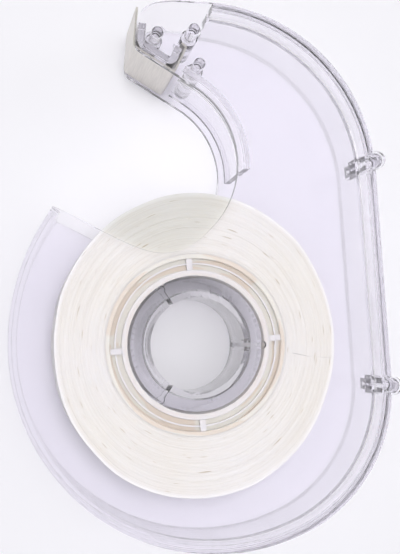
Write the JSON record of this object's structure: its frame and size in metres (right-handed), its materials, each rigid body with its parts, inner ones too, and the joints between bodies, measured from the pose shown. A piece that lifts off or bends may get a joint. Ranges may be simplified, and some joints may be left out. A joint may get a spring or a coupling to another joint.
{
  "type": "hand-held tape dispenser",
  "caption": "Clear snail-shaped hand-held tape dispenser: two snap-together half shells round a roll of matt tape on a ribbed core, with a toothed steel cutter at the nose.",
  "frame": {"origin": "on the underside of the back shell, under the middle of the case's outline", "axes": "+Z through the case's thickness, from the back shell to the front shell; +Y along the case, towards the cutter; +X towards the straight back with the press posts"},
  "size_m": [0.0732, 0.1018, 0.0234],
  "materials": {
    "clear_case": "clear glossy polystyrene",
    "cutter_steel": "bright rolled steel strip",
    "core_plastic": "translucent milky polystyrene",
    "matt_tape": "edge of wound matt film, finely layered"
  },
  "bodies": {
    "case_back": {"back_shell": "clear_case", "cutter_blade": "cutter_steel"},
    "case_front": {"front_shell": "clear_case"},
    "roll": {"tape_core": "core_plastic", "tape_roll": "matt_tape"}
  },
  "joints": [
    {"name": "roll_spin", "type": "hinge", "parent": "case_back", "child": "roll", "pos_m": [-0.0023, -0.01287, 0.0115], "axis": [0, 0, 1], "continuous": true},
    {"name": "front_lift", "type": "slide", "parent": "case_back", "child": "case_front", "axis": [0, 0, 1], "range_m": [0, 0.026]}
  ]
}
